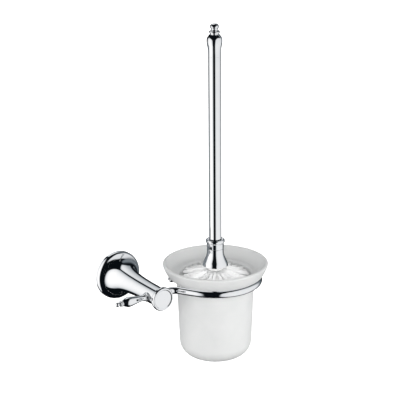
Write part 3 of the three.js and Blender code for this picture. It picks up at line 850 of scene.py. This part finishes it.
def tuft_crown():
    """The tufts at the head's foot, fanned into a round end."""
    draw = random.Random(7)
    node = "bristle_crown"
    bottom, top, size = low(node, Z), high(node, Z), radius(node) - 0.5
    routes = []
    for _ in range(CROWN_STRANDS):
        angle, polar = draw.uniform(0, 2 * math.pi), math.acos(draw.uniform(0.05, 1))
        outward = Vector((math.cos(angle), math.sin(angle), 0))
        start = outward * 7.5 * math.sin(polar) + Vector((0, 0, top + 0.5))
        shrink = draw.uniform(0.95, 1)
        end = outward * size * math.sin(polar) * shrink
        end += Vector((0, 0, top - (top - bottom - 0.3) * math.cos(polar) ** 0.6 * shrink))
        bend = start.lerp(end, 0.5) - Vector((0, 0, 1.2 * math.sin(polar)))
        routes.append([start, bend, end])
    return strands("tufts_crown", routes, node)


# ---------------------------------------------------------------------------------------------
# Studio: camera, floor, world and lamp
# ---------------------------------------------------------------------------------------------

# The camera's place, turn and lens were fitted to the photograph's outlines.
CAMERA_AT = Vector((-0.6772, -1.1258, 0.5005))
CAMERA_RIGHT = Vector((0.8159, -0.5781, -0.0073))
CAMERA_UP = Vector((0.1794, 0.2411, 0.9538))
CAMERA_BACK = Vector((-0.5496, -0.7795, 0.3004))
LENS, SENSOR = 110.55, 36
FRONT = Vector((CAMERA_BACK.x, CAMERA_BACK.y, 0)).normalized()
RIGHT = Vector((CAMERA_RIGHT.x, CAMERA_RIGHT.y, 0)).normalized()

FLOOR_HALF, FLOOR_Z, FLOOR_GLOW = 6.0, -0.32, 0.9

# Soft panels: azimuth, corners, brightness in the middle and at the ends. The corners run
# anticlockwise; each is (across, up, softness of the side that starts there), in shares of the
# panel's distance. The cards stand near the object, and the far panels are part of the world.
TENT_CENTRE = Vector((0, -0.05, 0))
TENT_HALF = 0.3  # the cards' distance from that centre
CARD_MARGIN = 0.2  # of the mesh beyond the panel's corners
BACK_DISC = [
    (0.68 * math.cos(turn), 0.68 * math.sin(turn), 0.04)
    for turn in (math.radians(30 * k) for k in range(12))
]
CARDS = {
    "left_card": (-80, [
        (-0.9, -1.75, 0.1), (1.5, -1.9, 0.3), (1.55, 0.8, 0.15), (0.5, 1.5, 0.1),
        (-0.7, 1.9, 0.08), (-1.1, 1, 0.08),
    ], 1.2, 0.6),
    "right_card": (70, [
        (-1.1, -1.4, 0.1), (0, -1.85, 0.1), (1.1, -1.7, 0.35), (1.1, 1.1, 0.15), (0, 1.6, 0.15),
        (-0.9, 1, 0.15), (-1.2, 0.2, 0.25),
    ], 0.95, 0.75),
    "back_card": (-144.7, BACK_DISC, 0.26, 0.14),
}
FAR_PANELS = [
    (131, [(-0.35, -0.8, 0.1), (0.3, -0.8, 0.25), (0.3, 2, 0.1), (-0.35, 2, 0.06)], 0.26, 0.12),
    (-166.5, [(-0.6, 0.35, 0.1), (0.3, 0.35, 0.08), (1, 3.2, 0.6), (-0.55, 3.2, 0.08)], 0.95, 0.6),
]

ROOM_WALLS, ROOM_ENDS = 1.4, 0.13  # the room's light from its walls, and what is left straight up
ROOM_LEAN = RIGHT * 0.1 + FRONT * 0.16 + Vector((0, 0, 0.4))  # the room is brighter this way
BACKDROP = 0.35  # what shows through the glass

HEAD_LAMP_AT = (-0.25, -0.6, 0.95)
HEAD_LAMP_SIZE, HEAD_LAMP_POWER = 0.8, 9.5


def add_camera():
    """The photograph's camera."""
    data = bpy.data.cameras.new("camera")
    data.lens = LENS
    data.sensor_width = SENSOR
    camera = add_object("camera", data)
    turn = Matrix((CAMERA_RIGHT, CAMERA_UP, CAMERA_BACK)).transposed().to_4x4()
    camera.matrix_world = Matrix.Translation(CAMERA_AT) @ turn
    bpy.context.scene.camera = camera


def hide_from(piece, *rays):
    """These kinds of ray pass the piece by."""
    for ray in rays:
        setattr(piece, f"visible_{ray}", False)


def add_floor():
    """A wide pale floor, well below the cup."""
    mesh = bmesh.new()
    mesh.faces.new([
        mesh.verts.new((x * FLOOR_HALF, y * FLOOR_HALF, FLOOR_Z))
        for x, y in ((-1, -1), (1, -1), (1, 1), (-1, 1))
    ])
    bmesh.ops.subdivide_edges(mesh, edges=mesh.edges[:], cuts=3, use_grid_fill=True)
    floor = piece_from("studio_floor", mesh)
    material, shader, at = new_material("floor_paint", (0.93, 0.93, 0.93), 0.8)
    tint(material, shader, add_noise(material, at, 3, 2), (0.92, 0.92, 0.92), (0.95, 0.95, 0.95))
    shader.inputs["Emission Color"].default_value = (1, 1, 1, 1)
    shader.inputs["Emission Strength"].default_value = FLOOR_GLOW
    floor.data.materials.append(material)
    hide_from(floor, "diffuse", "glossy", "transmission")


class NodeMaths:
    """Arithmetic with shader nodes: every value is a number or a node's output."""

    def __init__(self, tree):
        self.tree, self.nodes, self.links = tree, tree.nodes, tree.links

    def feed(self, socket, value):
        """Sets the socket to the number, or links the output to it."""
        if isinstance(value, (int, float)):
            socket.default_value = value
        else:
            self.links.new(value, socket)

    def math(self, operation, *values):
        """The operation's result."""
        node = self.nodes.new("ShaderNodeMath")
        node.operation = operation
        for socket, value in zip(node.inputs, values):
            self.feed(socket, value)
        return node.outputs[0]

    def dot(self, vector, fixed):
        """How far the vector reaches along the fixed one."""
        node = self.nodes.new("ShaderNodeVectorMath")
        node.operation = "DOT_PRODUCT"
        self.links.new(vector, node.inputs[0])
        node.inputs[1].default_value = fixed
        return node.outputs["Value"]

    def rise(self, value, at, soft):
        """Goes smoothly from 0 to 1 where the value passes a point."""
        return map_range(self.tree, value, at - soft, at + soft, 0, 1, curve="SMOOTHSTEP")

    def glow(self, across, up, corners, inner_level, outer_level):
        """A soft panel: where it is, from 0 to 1, and how bright, from its middle to its ends."""
        inside = 1.0
        for one, two in zip(corners, corners[1:] + corners[:1]):
            along = (Vector(two[:2]) - Vector(one[:2])).normalized()
            distance = self.math(
                "ADD", self.math("MULTIPLY", across, -along.y), self.math("MULTIPLY", up, along.x),
            )
            side = along.x * one[1] - along.y * one[0]
            inside = self.math("MULTIPLY", inside, self.rise(distance, side, one[2]))
        fade = 0.0
        for value, axis in ((across, X), (up, Y)):
            ends = [corner[axis] for corner in corners]
            centre, half = (min(ends) + max(ends)) / 2, (max(ends) - min(ends)) / 2
            share = self.math("DIVIDE", self.math("SUBTRACT", value, centre), half)
            fade = self.math("ADD", fade, self.math("MULTIPLY", share, share))
        fade = self.math("MULTIPLY", self.math("MINIMUM", fade, 1.4), outer_level - inner_level)
        return inside, self.math("ADD", fade, inner_level)

    def cool(self, level):
        """A colour of that brightness, bluer where it is dim."""
        colour = self.nodes.new("ShaderNodeCombineColor")
        for socket, power in zip(colour.inputs, (1.14, 1.06, 1.0)):
            self.feed(socket, self.math("POWER", self.math("MAXIMUM", level, 0.006), power))
        return colour.outputs[0]

    def background(self, strength, colour=None):
        """Light from far away, white if no colour is given."""
        node = self.nodes.new("ShaderNodeBackground")
        node.inputs["Color"].default_value = (1, 1, 1, 1)
        if colour is not None:
            self.links.new(colour, node.inputs["Color"])
        self.feed(node.inputs["Strength"], strength)
        return node.outputs[0]

    def mix(self, share, one, two):
        """The first shader where the share is 0, the second where it is 1."""
        node = self.nodes.new("ShaderNodeMixShader")
        for value, socket in zip((share, one, two), node.inputs):
            self.links.new(value, socket)
        return node.outputs[0]


def facing(azimuth):
    """The level direction at that azimuth, and the one across it. Azimuths are degrees from the
    camera's side of the object, growing towards the picture's right."""
    turn = math.radians(azimuth)
    ahead = FRONT * math.cos(turn) + RIGHT * math.sin(turn)
    return ahead, RIGHT * math.cos(turn) - FRONT * math.sin(turn)


def add_card(name, azimuth, corners, inner_level, outer_level):
    """A soft panel of light near the object, which only mirror-like parts see."""
    (left, right), (bottom, top) = (
        (min(c[axis] for c in corners) - CARD_MARGIN, max(c[axis] for c in corners) + CARD_MARGIN)
        for axis in (X, Y)
    )
    mesh = bmesh.new()
    mesh.faces.new([
        mesh.verts.new((x, y, 0))
        for x, y in ((left, bottom), (right, bottom), (right, top), (left, top))
    ])
    card = piece_from(name, mesh)
    ahead, across = facing(azimuth)
    turn = Matrix((across, Vector((0, 0, 1)), -ahead)).transposed().to_4x4()
    centre = Matrix.Translation(TENT_CENTRE + ahead * TENT_HALF)
    card.matrix_world = centre @ turn @ Matrix.Scale(TENT_HALF, 4)
    material = bpy.data.materials.new(name)
    material.use_nodes = True
    material.node_tree.nodes.clear()
    maths = NodeMaths(material.node_tree)
    place_on = maths.nodes.new("ShaderNodeTexCoord").outputs["Object"]
    side, up = maths.dot(place_on, (1, 0, 0)), maths.dot(place_on, (0, 1, 0))
    inside, level = maths.glow(side, up, corners, inner_level, outer_level)
    emission = maths.nodes.new("ShaderNodeEmission")
    maths.feed(emission.inputs["Color"], maths.cool(level))
    clear = maths.nodes.new("ShaderNodeBsdfTransparent")
    output = maths.nodes.new("ShaderNodeOutputMaterial")
    shader = maths.mix(inside, clear.outputs[0], emission.outputs[0])
    maths.feed(output.inputs["Surface"], shader)
    card.data.materials.append(material)
    hide_from(card, "camera", "diffuse", "transmission", "volume_scatter", "shadow")


def add_world():
    """Far light. The camera sees white, a mirror-like surface sees the far panels, the light
    through the glass comes from a dim backdrop, and all else is lit by a room with bright walls."""
    world = bpy.data.worlds.new("room")
    world.use_nodes = True
    bpy.context.scene.world = world
    world.node_tree.nodes.clear()
    maths = NodeMaths(world.node_tree)
    direction = maths.nodes.new("ShaderNodeTexCoord").outputs["Generated"]
    height = maths.dot(direction, (0, 0, 1))
    light = 0.0
    for azimuth, corners, inner_level, outer_level in FAR_PANELS:
        ahead, across = (maths.dot(direction, axis) for axis in facing(azimuth))
        inside, level = maths.glow(
            maths.math("DIVIDE", across, ahead), maths.math("DIVIDE", height, ahead),
            corners, inner_level, outer_level,
        )
        inside = maths.math("MULTIPLY", inside, maths.rise(ahead, 0.04, 0.02))
        light = maths.math("MAXIMUM", light, maths.math("MULTIPLY", inside, level))
    mirrored = maths.background(1, maths.cool(light))
    lean = maths.math("ADD", maths.dot(direction, ROOM_LEAN), 1)
    level = maths.math("SUBTRACT", 1, maths.math("MULTIPLY", height, height))
    level = maths.math("MULTIPLY_ADD", maths.math("MULTIPLY", level, level), ROOM_WALLS, ROOM_ENDS)
    room = maths.background(maths.math("MULTIPLY", lean, level))
    path = maths.nodes.new("ShaderNodeLightPath").outputs
    straight = maths.math("LESS_THAN", path["Diffuse Depth"], 0.5)
    glossy = maths.math("MULTIPLY", path["Is Glossy Ray"], straight)
    through_glass = maths.math("MULTIPLY", path["Is Transmission Ray"], straight)
    seen = maths.mix(glossy, room, mirrored)
    seen = maths.mix(through_glass, seen, maths.background(BACKDROP))
    seen = maths.mix(path["Is Camera Ray"], seen, maths.background(1))
    output = maths.nodes.new("ShaderNodeOutputWorld")
    maths.feed(output.inputs["Surface"], seen)


def add_head_lamp(pieces):
    """A round lamp over the cup that lights only these pieces and throws no shadow."""
    data = bpy.data.lights.new("head_lamp", "AREA")
    data.shape = "DISK"
    data.size = HEAD_LAMP_SIZE
    data.energy = HEAD_LAMP_POWER
    data.use_shadow = False
    lamp = add_object("head_lamp", data)
    lamp.location = HEAD_LAMP_AT
    aim = Vector((CUP_X * MM, CUP_Y * MM, 0)) - lamp.location
    lamp.rotation_mode = "QUATERNION"
    lamp.rotation_quaternion = aim.to_track_quat("-Z", "Y")
    hide_from(lamp, "glossy")
    lit = bpy.data.collections.new("head_lamp")
    for piece in pieces:
        lit.objects.link(piece)
    lamp.light_linking.receiver_collection = lit


def add_studio():
    """All that stands round the holder, apart from the brush head's lamp."""
    add_camera()
    add_floor()
    add_world()
    for name, panel in CARDS.items():
        add_card(name, *panel)
    bpy.context.scene.view_settings.view_transform = "Standard"


# ---------------------------------------------------------------------------------------------
# Assembly
# ---------------------------------------------------------------------------------------------

FASTENERS = (
    "flange_set_screw", "arm_bolt", "arm_bolt_washer", "lever_stud", "rod_plug", "bell_nut",
    "head_stud",
)


def build_holder():
    """What stays on the wall, the lever and the cup."""
    plate_disc()
    flange_shell()
    arm_horn()
    cap_disc()
    ring_wire()
    stem_collar()
    seat_ferrule()
    lever_handle()
    lever_rings()
    lever_ball()
    cup_glass()


def build_brush():
    """The brush, and the lamp on its head."""
    handle_tube()
    grip_vase()
    finial_ring()
    finial_knob()
    bell_neck()
    bell_skirt()
    rows = range(1, ROWS + 1)
    add_head_lamp([core_moulding(), tuft_crown()] + [tuft_row(index) for index in rows])


def finish_fasteners():
    """The fasteners keep their CAD shape and take the steel."""
    for node in FASTENERS:
        frame["nodes"][node].material_slots[0].material = MATERIALS["steel"]


add_studio()
build_holder()
build_brush()
finish_fasteners()

bpy.context.view_layer.update()
